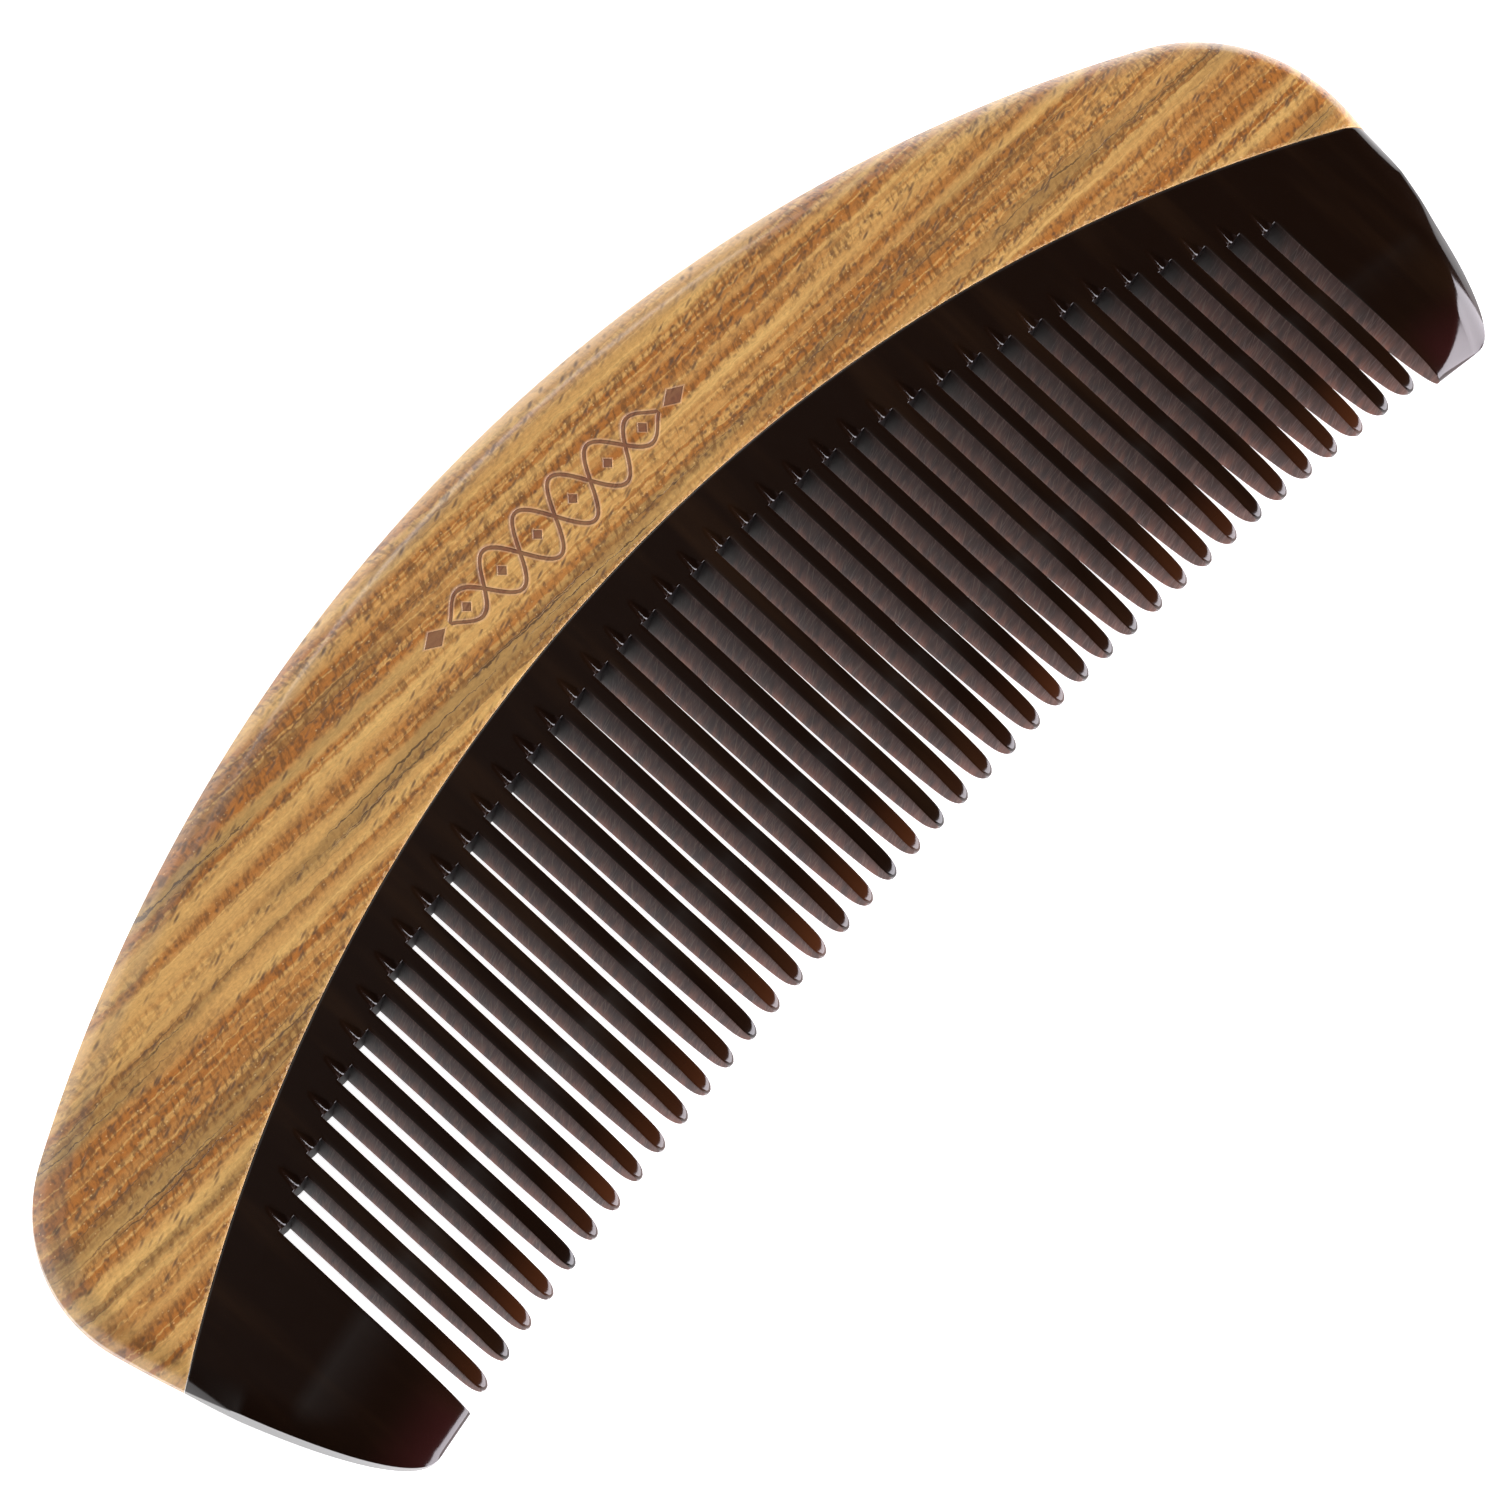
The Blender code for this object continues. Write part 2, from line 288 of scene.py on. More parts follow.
def root_line(x):
    """The roots as one line: level at each slot, straight across each tooth, and an arc over the guards."""
    place = (x - slot_x(0)) / PITCH
    nearest = min(TOOTH_COUNT, max(0, round(place)))
    past = (place - nearest) * PITCH
    half = SLOT_WIDTH / 2
    if abs(past) <= half + 1e-9:
        return slot_y(nearest)
    if place < 0 or place > TOOTH_COUNT:
        wall = slot_x(nearest) + math.copysign(half, past)
        here = on_arc(ROOT_CENTRE, ROOT_ARC_RADIUS, x)
        return slot_y(nearest) + here - on_arc(ROOT_CENTRE, ROOT_ARC_RADIUS, wall)
    other = nearest + (1 if past > 0 else -1)
    share = (abs(past) - half) / TOOTH_WIDTH
    return slot_y(nearest) + (slot_y(other) - slot_y(nearest)) * share


def horn_seam(x):
    return on_arc(SEAM_CENTRE, SEAM_RADIUS - SEAM_GAP, x)


def web_line(row):
    """The line across the plate for one row above the roots."""
    if row < len(ROOT_ROWS):
        return lambda x: root_line(x) + ROOT_ROWS[row]
    row -= len(ROOT_ROWS)
    if row < len(SEAM_ROWS):
        share = SEAM_ROWS[row]
        return lambda x: (root_line(x) + ROOT_ROWS[-1]) * (1 - share) + (horn_seam(x) - SEAM_EDGE) * share
    return lambda x: horn_seam(x) - SEAM_STEPS[row - len(SEAM_ROWS)]


WEB_ROWS = len(ROOT_ROWS) + len(SEAM_ROWS) + len(SEAM_STEPS)


def tooth_line(row, drop):
    """The line across a tooth or guard for one row below the roots, and how far the row is into the nose."""
    radius = TIP_ARC_RADIUS - drop
    if row < TOOTH_ROWS:
        share = (row + 1) / TOOTH_ROWS
        nose = radius + TIP_ROUNDING
        return (lambda x: root_line(x) * (1 - share) + on_arc(TIP_CENTRE, nose, x) * share), 0.0
    depth = math.sin(NOSE_TURNS[row - TOOTH_ROWS])
    return (lambda x: on_arc(TIP_CENTRE, radius + TIP_ROUNDING * (1 - depth), x)), depth


LOWER_ROWS = TOOTH_ROWS + len(NOSE_TURNS)


def cover_height(x, y, drop, side=0):
    """Height of the front face where the rounding near this point starts."""
    if side:
        centre = END_CENTRE[side]
        out = Vector((x, y)) - centre
        reach = min(out.length, END_RADIUS[side] - EDGE_WIDTH)
        x, y = centre + out.normalized() * reach
    return max(front_height(x, y), TIP_THICKNESS + FRONT_SLOPE * (TIP_ROUNDING - drop))


def edge_drop(x, y, radius):
    """The rounding over the edges of the slots and of their roots."""
    place = (x - slot_x(0)) / PITCH
    nearest = min(TOOTH_COUNT, max(0, round(place)))
    across = max(0.0, abs(x - slot_x(nearest)) - SLOT_WIDTH / 2)
    above = max(0.0, y - slot_y(nearest))
    return round_over(math.hypot(across, above), radius)


def notch_half_width(above):
    """Half the width of a notch, which is a pointed arch, at a height above its root."""
    return NOTCH_HALF * max(0.0, 1 - above / NOTCH_HEIGHT) ** NOTCH_POINT


def notch_drop(x, y, i):
    """How deep a notch is cut. It is a hollow that steepens down to the root."""
    above = y - slot_y(i)
    half = notch_half_width(above)
    across = abs(x - slot_x(i) - NOTCH_SHIFT)
    if across >= half:
        return 0.0
    down = 1 - max(0.0, above) / NOTCH_HEIGHT
    curve = 1 - math.sqrt(1 - (NOTCH_CURVE * down) ** 2)
    steep = NOTCH_STRAIGHT * down + (1 - NOTCH_STRAIGHT) * curve
    return NOTCH_DEPTH * steep * (1 - (across / half) ** NOTCH_SECTION)


def tip_half_width(away):
    """Half the width of a tooth at a distance from its tip, as a share of the full half width."""
    short = max(0.0, 1 - away / TIP_NARROWING_LENGTH)
    return 1 - TIP_NARROWING / (TOOTH_WIDTH / 2) * short**2


def tip_corner(away, share):
    """How far the side of a tooth falls back from its tip, which rounds the tip's corners."""
    near = max(0.0, 1 - away / TIP_CORNER_LENGTH)
    return TIP_CORNER * near**2 * (1 - math.sqrt(1 - (TIP_CORNER_REACH * share) ** 2))


def line_meets_circle(line, start, side, centre, radius):
    """Where a line across the plate comes to a circle, going outwards from a start."""
    near, far = abs(start), SEARCH_END
    for _ in range(SEARCH_STEPS):
        middle = (near + far) / 2
        x = side * middle
        if (Vector((x, line(x))) - centre).length < radius:
            near = middle
        else:
            far = middle
    return side * near


def squircle(a, b):
    """Moves a point of the unit square onto a square with a rounded corner."""
    most = max(a, b)
    if a <= 0 or b <= 0:
        return a, b
    power = GUARD_CORNER_POWER
    scale = most / (a**power + b**power) ** (1 / power)
    return a * scale, b * scale


def bevelled(x, y, side, low, high):
    """The front's height on the right guard, whose corner is ground down more than the rest."""
    if side < 0 or y > BEVEL_CENTRE.y:
        return high
    past = (Vector((x, y)) - BEVEL_CENTRE).length - BEVEL_RADIUS
    if past <= 0:
        return high
    share = min(1.0, (BEVEL_CENTRE.y - y) / BEVEL_FADE)
    fall = BEVEL_SLOPE * past**2 / (past + BEVEL_SOFTNESS) * share**2 * (3 - 2 * share)
    return low + (high - low) ** 2 / (high - low + fall)


def guard_row(plate, side, line, depth):
    """One row of a guard, from the slot's wall outwards, without the point on the wall."""
    slot = TOOTH_COUNT if side == 1 else 0
    wall = slot_x(slot) + side * SLOT_WIDTH / 2
    centre = END_CENTRE[side]
    drop = GUARD_DROP[side]
    flat = line_meets_circle(line, wall, side, centre, END_RADIUS[side] - EDGE_WIDTH)
    places = [(wall + side * step, 0.0) for step in WALL_STEPS[1:]]
    first = wall + side * TOOTH_EDGE
    places += [(first + (flat - first) * i / GUARD_COLUMNS, 0.0) for i in range(1, GUARD_COLUMNS + 1)]
    places += [(None, math.sin(turn)) for turn in SIDE_TURNS]
    indices = []
    for x, out in places:
        share, low_share = depth, depth
        if x is None:
            out, low_share = squircle(out, depth)
            reach = END_RADIUS[side] - EDGE_WIDTH * (1 - out)
            if depth > 0:
                height = TIP_ARC_RADIUS - drop + TIP_ROUNDING * (1 - low_share)
                x, y = circles_meet(TIP_CENTRE, height, centre, reach, -side)
            else:
                x = line_meets_circle(line, wall, side, centre, reach)
                y = line(x)
            share = (out**GUARD_CORNER_POWER + low_share**GUARD_CORNER_POWER) ** (1 / GUARD_CORNER_POWER)
        else:
            y = line(x)
        fall = max(edge_drop(x, y, TOOTH_EDGE), seam_drop(x, y))
        weight = out**2 / (out**2 + low_share**2) if out > 0 else 0.0
        fullness = 1 - (1 - EDGE_FULLNESS) * weight
        below = min(1.0, max(0.0, (horn_seam(x) - y) / GUARD_BLEND))
        part = 1 - (1 - GUARD_SIDE_PART) * weight * below
        low, high = rounded(share, cover_height(x, y, drop, side), fullness, part)
        if high - low > LEAST_SHARE * fall:
            low, high = low + fall, high - fall
        indices.append(plate.add(x, y, low, bevelled(x, y, side, low, high)))
    return indices


def tooth_points(plate, centre, line, depth):
    """One row of points across a tooth."""
    half = TOOTH_WIDTH / 2
    inner = half - TOOTH_EDGE
    offsets = [-half + step for step in WALL_STEPS] + [inner * share for share in TOOTH_MIDDLE]
    offsets += [half - step for step in reversed(WALL_STEPS)]
    indices = []
    for offset in offsets:
        away = (Vector((centre, line(centre))) - TIP_CENTRE).length - TIP_ARC_RADIUS
        x = centre + offset * tip_half_width(away)
        y = line(x) + tip_corner(away, offset / half)
        edge = round_over(half - abs(offset), TOOTH_EDGE) if depth > 0 else edge_drop(x, y, TOOTH_EDGE)
        fall = max(edge, seam_drop(x, y))
        low, high = rounded(depth, cover_height(x, y, 0))
        if high - low < LEAST_SHARE * fall:
            fall = (high - low) / LEAST_SHARE
        indices.append(plate.add(x, y, low + fall, high - fall))
    return indices


def slot_points(plate, i, line):
    """One row of points across the web above a slot, without the ones that the teeth on both sides have."""
    x_middle = slot_x(i)
    half = SLOT_WIDTH / 2
    above = line(x_middle) - slot_y(i)
    notch = max(notch_half_width(above), NOTCH_LEAST * half)
    inside = [NOTCH_SHIFT + notch * share for share in NOTCH_COLUMNS]
    offsets = [(inside[0] - half) / 2, *inside, (inside[-1] + half) / 2]
    indices = []
    for offset in offsets:
        x = x_middle + offset
        y = line(x)
        fall = max(edge_drop(x, y, TOOTH_EDGE), notch_drop(x, y, i), seam_drop(x, y))
        low, high = rounded(0.0, cover_height(x, y, 0))
        indices.append(plate.add(x, y, low + fall, high - fall))
    return indices


def wall_point(plate, x, y, depth, drop):
    """A point on the wall between a guard and its slot."""
    low, high = rounded(depth, cover_height(x, y, drop))
    fall = max(edge_drop(x, y, TOOTH_EDGE), seam_drop(x, y))
    fall = min(fall, (high - low) / LEAST_SHARE)
    return plate.add(x, y, low + fall, high - fall)


def horn_mesh():
    plate = Plate()
    left_wall = slot_x(0) - SLOT_WIDTH / 2
    right_wall = slot_x(TOOTH_COUNT) + SLOT_WIDTH / 2
    web = []
    for row in range(WEB_ROWS):
        line = web_line(row)
        indices = list(reversed(guard_row(plate, -1, line, 0.0)))
        indices.append(wall_point(plate, left_wall, line(left_wall), 0.0, 0.0))
        for i in range(TOOTH_COUNT + 1):
            indices += slot_points(plate, i, line)
            if i < TOOTH_COUNT:
                indices += tooth_points(plate, slot_x(i) + PITCH / 2, line, 0.0)
        indices.append(wall_point(plate, right_wall, line(right_wall), 0.0, 0.0))
        indices += guard_row(plate, 1, line, 0.0)
        web.append(indices)
    plate.grid(web)
    for index in web[-1]:
        if in_tongue(*plate.points[index][:2]):
            plate.ledges[index] = (TONGUE_HEIGHT, TONGUE_THICKNESS / 2)

    guard_width = len(WALL_STEPS) + GUARD_COLUMNS + len(SIDE_TURNS)
    tooth_width = 2 * len(WALL_STEPS) + len(TOOTH_MIDDLE)
    base = web[0]
    left, right = [base[:guard_width]], [base[-guard_width:]]
    for row in range(LOWER_ROWS):
        line, depth = tooth_line(row, GUARD_DROP[-1])
        wall = wall_point(plate, left_wall, line(left_wall), depth, GUARD_DROP[-1])
        left.insert(0, [*reversed(guard_row(plate, -1, line, depth)), wall])
        line, depth = tooth_line(row, GUARD_DROP[1])
        wall = wall_point(plate, right_wall, line(right_wall), depth, GUARD_DROP[1])
        right.insert(0, [wall, *guard_row(plate, 1, line, depth)])
    plate.grid(left)
    plate.grid(right)
    for i in range(TOOTH_COUNT):
        start = guard_width + SLOT_COLUMNS + i * (SLOT_COLUMNS + tooth_width)
        tooth = [base[start : start + tooth_width]]
        for row in range(LOWER_ROWS):
            line, depth = tooth_line(row, 0.0)
            tooth.insert(0, tooth_points(plate, slot_x(i) + PITCH / 2, line, depth))
        plate.grid(tooth)
    return plate.mesh("horn")


# ---------------------------------------------------------------- the wooden back

END_COLUMNS = 26
SHOULDER_COLUMNS = 26
BACK_COLUMNS = 150
WOOD_ROWS = 26


def angle_to(centre, point):
    return math.atan2(point.y - centre.y, point.x - centre.x)


def wood_ring(inset):
    """Points along the wood's outline moved inwards, from the seam's left end over the back to its right."""
    seam = SEAM_RADIUS + SEAM_GAP
    back = BACK_RADIUS - inset
    shoulder, end, bottom = {}, {}, {}
    for side in (1, -1):
        centre = END_CENTRE[side]
        end[side] = END_RADIUS[side] - inset
        radius = SHOULDER_RADIUS[side] - inset
        shoulder[side] = circles_meet(BACK_CENTRE, back - radius, centre, end[side] - radius, -side)
        bottom[side] = circles_meet(SEAM_CENTRE, seam, centre, end[side], -side)
    full = math.tau

    def sweep(centre, radius, start, stop, count, crowd=1.0):
        shares = [(i / count) ** crowd for i in range(count)]
        angles = [start + (stop - start) * s for s in shares]
        return [centre + Vector((math.cos(a), math.sin(a))) * radius for a in angles]

    left, right = END_CENTRE[-1], END_CENTRE[1]
    left_low = angle_to(left, bottom[-1]) % full
    left_high = angle_to(left, shoulder[-1]) % full
    back_left = angle_to(BACK_CENTRE, shoulder[-1])
    back_right = angle_to(BACK_CENTRE, shoulder[1])
    right_high = angle_to(right, shoulder[1])
    right_low = angle_to(right, bottom[1])
    points = sweep(left, end[-1], left_low, left_high, END_COLUMNS, 2.0)
    points += sweep(shoulder[-1], SHOULDER_RADIUS[-1] - inset, left_high, back_left, SHOULDER_COLUMNS)
    points += sweep(BACK_CENTRE, back, back_left, back_right, BACK_COLUMNS)
    points += sweep(shoulder[1], SHOULDER_RADIUS[1] - inset, back_right, right_high, SHOULDER_COLUMNS)
    last = sweep(right, end[1], right_low, right_high, END_COLUMNS, 2.0)
    towards_end = Vector((math.cos(right_high), math.sin(right_high)))
    points.append(shoulder[1] + towards_end * (SHOULDER_RADIUS[1] - inset))
    return points + list(reversed(last))


def moved_towards(place, goal, distance):
    """A place moved towards a goal by a distance, and not past it."""
    line = goal - place
    if line.length > 0:
        return place + line.normalized() * min(distance, line.length)
    return place


def wood_mesh():
    plate = Plate()
    flat = wood_ring(EDGE_WIDTH)
    columns = len(flat)
    covers = [front_height(place.x, place.y) for place in flat]
    rings = []
    for turn in reversed(quarter(ROUNDING_TURNS)):
        share = math.sin(turn)
        ring = wood_ring(EDGE_WIDTH * (1 - share))
        indices = []
        for place, cover in zip(ring, covers):
            low, high = rounded(share, cover, EDGE_FULLNESS)
            fall = seam_drop(place.x, place.y)
            indices.append(plate.add(place.x, place.y, low + fall, high - fall))
        rings.append(indices)

    lengths = np.cumsum([0.0] + [(b - a).length for a, b in zip(flat, flat[1:])])
    shares = lengths / lengths[-1]
    radius = SEAM_RADIUS + SEAM_GAP
    start, stop = angle_to(SEAM_CENTRE, flat[0]), angle_to(SEAM_CENTRE, flat[-1])
    angles = start + (stop - start) * shares
    seam = [SEAM_CENTRE + Vector((math.cos(a), math.sin(a))) * radius for a in angles]
    inner = []
    fractions = [i / WOOD_ROWS for i in range(1, WOOD_ROWS)]
    for fraction in fractions:
        inner.append([a.lerp(b, fraction) for a, b in zip(flat, seam)])
    for step in SEAM_STEPS:
        inner.append([moved_towards(s, f, step * SEAM_STEP_SPREAD) for f, s in zip(flat, seam)])
    for places in inner:
        indices = [rings[-1][0]]
        for place in places[1:-1]:
            fall = seam_drop(place.x, place.y)
            indices.append(plate.add(place.x, place.y, fall, front_height(place.x, place.y) - fall))
        indices.append(rings[-1][columns - 1])
        rings.append(indices)
    plate.grid(list(reversed(rings)))
    for index in rings[-1]:
        x, y, _, _ = plate.points[index]
        if in_tongue(x, y):
            half = TONGUE_THICKNESS / 2 + TONGUE_CLEARANCE
            plate.ledges[index] = (TONGUE_HEIGHT + TONGUE_CLEARANCE, half)
    return plate.mesh("wood")


# ---------------------------------------------------------------- materials


def srgb(red, green, blue):
    """A colour in linear light from its 8-bit screen values."""
    shares = [value / 255 for value in (red, green, blue)]
    return [s / 12.92 if s <= 0.04045 else ((s + 0.055) / 1.055) ** 2.4 for s in shares]


class Shading:
    """A procedural material. Its coordinates are in millimetres in the frame of the comb."""

    def __init__(self, name):
        self.material = bpy.data.materials.new(name)
        self.material.use_nodes = True
        self.tree = self.material.node_tree
        self.shader = self.tree.nodes["Principled BSDF"]
        coordinates = self.tree.nodes.new("ShaderNodeTexCoord")
        scaled = self.tree.nodes.new("ShaderNodeVectorMath")
        scaled.operation = "SCALE"
        scaled.inputs["Scale"].default_value = MM
        self.tree.links.new(coordinates.outputs["Object"], scaled.inputs[0])
        self.x, self.y, self.z = self.split(scaled.outputs["Vector"])
        self.normal_x, self.normal_y, self.normal_z = self.split(coordinates.outputs["Normal"])

    def put(self, socket, value):
        if isinstance(value, bpy.types.NodeSocket):
            self.tree.links.new(value, socket)
        elif isinstance(value, (list, tuple)):
            socket.default_value = (*value, 1) if len(socket.default_value) == 4 else value
        else:
            socket.default_value = value

    def split(self, vector):
        node = self.tree.nodes.new("ShaderNodeSeparateXYZ")
        self.put(node.inputs[0], vector)
        return node.outputs

    def math(self, operation, *values):
        node = self.tree.nodes.new("ShaderNodeMath")
        node.operation = operation
        for socket, value in zip(node.inputs, values):
            self.put(socket, value)
        return node.outputs[0]

    def total(self, *terms):
        """The sum of terms, each a pair of a factor and a value."""
        result = 0.0
        for factor, value in terms:
            result = self.math("MULTIPLY_ADD", value, factor, result)
        return result

    def times(self, first, *others):
        for other in others:
            first = self.math("MULTIPLY", first, other)
        return first

    def from_arc(self, centre, radius):
        """How far a place is outside an arc of the comb, in millimetres."""
        across = self.math("POWER", self.math("SUBTRACT", self.x, centre.x * MM), 2.0)
        up = self.math("POWER", self.math("SUBTRACT", self.y, centre.y * MM), 2.0)
        away = self.math("SQRT", self.total((1.0, across), (1.0, up)))
        return self.math("SUBTRACT", away, radius * MM)

    def smooth(self, value, low, high):
        """0 below low and 1 above high, or the other way round when low is above high."""
        node = self.tree.nodes.new("ShaderNodeMapRange")
        node.interpolation_type = "SMOOTHSTEP"
        turned = low > high
        self.put(node.inputs["Value"], value)
        node.inputs["From Min"].default_value = min(low, high)
        node.inputs["From Max"].default_value = max(low, high)
        node.inputs["To Min"].default_value = 1.0 if turned else 0.0
        node.inputs["To Max"].default_value = 0.0 if turned else 1.0
        return node.outputs["Result"]

    def place(self, *terms):
        """A vector of up to three values, each a pair of a factor and a value."""
        node = self.tree.nodes.new("ShaderNodeCombineXYZ")
        for socket, (factor, value) in zip(node.inputs, terms):
            self.put(socket, self.math("MULTIPLY", value, factor))
        return node.outputs[0]

    def noise(self, vector, detail=2.0, roughness=0.5):
        node = self.tree.nodes.new("ShaderNodeTexNoise")
        self.put(node.inputs["Vector"], vector)
        node.inputs["Scale"].default_value = 1.0
        node.inputs["Detail"].default_value = detail
        node.inputs["Roughness"].default_value = roughness
        return node.outputs["Fac"]

    def cells(self, vector):
        """The distance to the nearest of a field of points, and a random value for each of them."""
        node = self.tree.nodes.new("ShaderNodeTexVoronoi")
        self.put(node.inputs["Vector"], vector)
        node.inputs["Scale"].default_value = 1.0
        red = self.split(node.outputs["Color"])[0]
        return node.outputs["Distance"], red

    def mix(self, share, first, second, blend="MIX"):
        node = self.tree.nodes.new("ShaderNodeMix")
        node.data_type = "RGBA"
        node.blend_type = blend
        self.put(node.inputs[0], share)
        self.put(node.inputs[6], first)
        self.put(node.inputs[7], second)
        return node.outputs[2]

    def finish(self, colour, roughness, height):
        """Joins the colour, the roughness, and a height in millimetres to the shader."""
        bump = self.tree.nodes.new("ShaderNodeBump")
        bump.inputs["Distance"].default_value = 0.001
        self.put(bump.inputs["Height"], height)
        self.put(self.shader.inputs["Normal"], bump.outputs["Normal"])
        self.put(self.shader.inputs["Base Color"], colour)
        self.put(self.shader.inputs["Roughness"], roughness)
        return self.material


ORNAMENT_X = -1.5
ORNAMENT_Y = 20.7
ORNAMENT_HALF = 14.5
ORNAMENT_RISE = 2.9
ORNAMENT_WAVE = 9.6667
ORNAMENT_LINE = 0.17
DIAMOND_PAST = 1.9
DIAMOND_STRETCH = 0.62
LOOP_DIAMOND = 0.55
END_DIAMOND = 0.85


def ornament(wood):
    """Two strands that cross in a row of loops, with a diamond in each loop and at each end.

    It gives how deep the wood is cut, and the paler rim beside the cut.
    """
    x = wood.math("SUBTRACT", wood.x, ORNAMENT_X)
    y = wood.math("SUBTRACT", wood.y, ORNAMENT_Y)
    share = wood.math("DIVIDE", x, ORNAMENT_HALF)
    round_end = wood.math("MULTIPLY_ADD", wood.times(share, share), -1.0, 1.0)
    taper = wood.math("SQRT", wood.math("MAXIMUM", round_end, 0.0))
    rise = wood.times(taper, ORNAMENT_RISE)
    pull = math.tau / ORNAMENT_WAVE
    angle = wood.times(x, pull)
    wave = wood.times(rise, wood.math("SINE", angle))
    steep = wood.times(rise, wood.math("COSINE", angle), pull)
    length = wood.math("SQRT", wood.math("MULTIPLY_ADD", steep, steep, 1.0))
    inside = wood.smooth(wood.math("ABSOLUTE", share), 1.0, 0.985)
    nearest = 9.0
    for turn in (1.0, -1.0):
        away = wood.math("ABSOLUTE", wood.math("MULTIPLY_ADD", wave, turn, y))
        nearest = wood.math("MINIMUM", wood.math("DIVIDE", away, length), nearest)
    strands = wood.math("ADD", nearest, wood.smooth(inside, 1.0, 0.0))
    half = ORNAMENT_WAVE / 2
    along = wood.math("SUBTRACT", wood.math("ABSOLUTE", wood.math("WRAP", x, 0.0, half)), half / 2)
    loops = wood.math("ADD", wood.math("ABSOLUTE", along), wood.math("ABSOLUTE", y))
    past_last = wood.smooth(wood.math("ABSOLUTE", share), 0.9, 0.92)
    loops = wood.math("ADD", wood.math("SUBTRACT", loops, LOOP_DIAMOND), past_last)
    past = wood.math("SUBTRACT", wood.math("ABSOLUTE", x), ORNAMENT_HALF + DIAMOND_PAST)
    stretched = wood.times(wood.math("ABSOLUTE", past), DIAMOND_STRETCH)
    ends = wood.math("ADD", stretched, wood.math("ABSOLUTE", y))
    ends = wood.math("SUBTRACT", ends, END_DIAMOND)
    lines = wood.math("SUBTRACT", strands, ORNAMENT_LINE)
    distance = wood.math("MINIMUM", wood.math("MINIMUM", lines, loops), ends)
    face = wood.smooth(wood.normal_z, 0.7, 0.8)
    cut = wood.times(wood.smooth(distance, 0.05, -0.05), face)
    rim = wood.times(wood.smooth(distance, 0.26, 0.06), face, wood.math("SUBTRACT", 1.0, cut))
    return cut, rim


